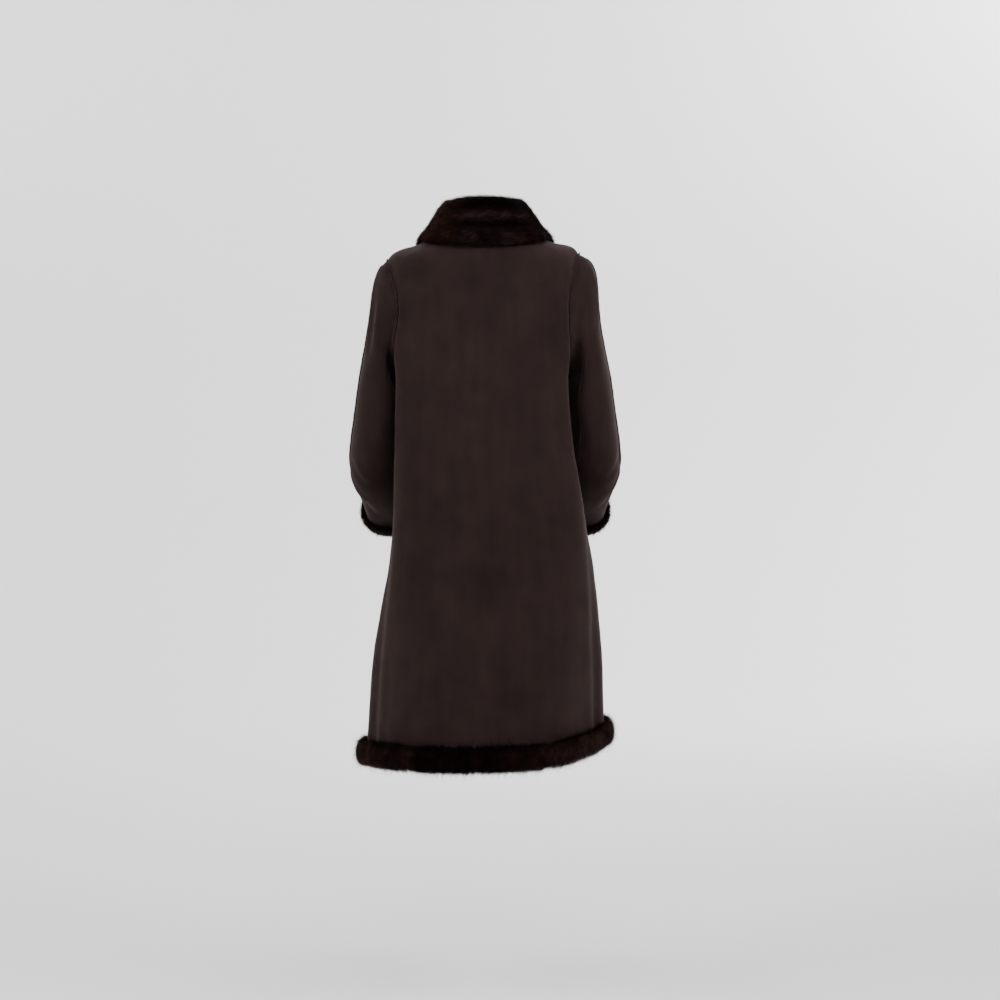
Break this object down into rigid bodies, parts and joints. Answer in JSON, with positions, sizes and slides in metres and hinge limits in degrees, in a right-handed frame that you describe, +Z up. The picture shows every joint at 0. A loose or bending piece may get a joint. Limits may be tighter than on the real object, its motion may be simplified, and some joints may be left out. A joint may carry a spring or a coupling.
{
  "type": "fur-trimmed suede coat",
  "caption": "Below-knee suede coat, hollow as worn, with a turned-down fur collar, rolled fur cuffs and hem, bent sleeves and raised seams.",
  "frame": {"origin": "the middle of the neck at the height where the shoulder seams leave the collar, where a wearer's shoulders carry the coat", "axes": "+Z up, +X to the wearer's left, +Y to the wearer's back, so the front opening faces -Y"},
  "size_m": [0.549, 0.4331, 1.1218],
  "materials": {
    "suede": "matte brushed suede, dark brown",
    "fur": "short glossy fur, near-black brown"
  },
  "bodies": {
    "root": {"back": "suede", "front_left": "suede", "front_right": "suede", "collar_stand": "suede", "sleeve_back_left": "suede", "sleeve_front_left": "suede", "sleeve_back_right": "suede", "sleeve_front_right": "suede", "collar_fall": "fur", "cuff_fur_left": "fur", "cuff_fur_right": "fur", "hem_fur_back": "fur", "hem_fur_front_left": "fur", "hem_fur_front_right": "fur", "armhole_welt_left": "suede", "armhole_welt_right": "suede", "sleeve_welt_left": "suede", "sleeve_welt_right": "suede", "side_welt_left": "suede", "side_welt_right": "suede"}
  },
  "joints": []
}
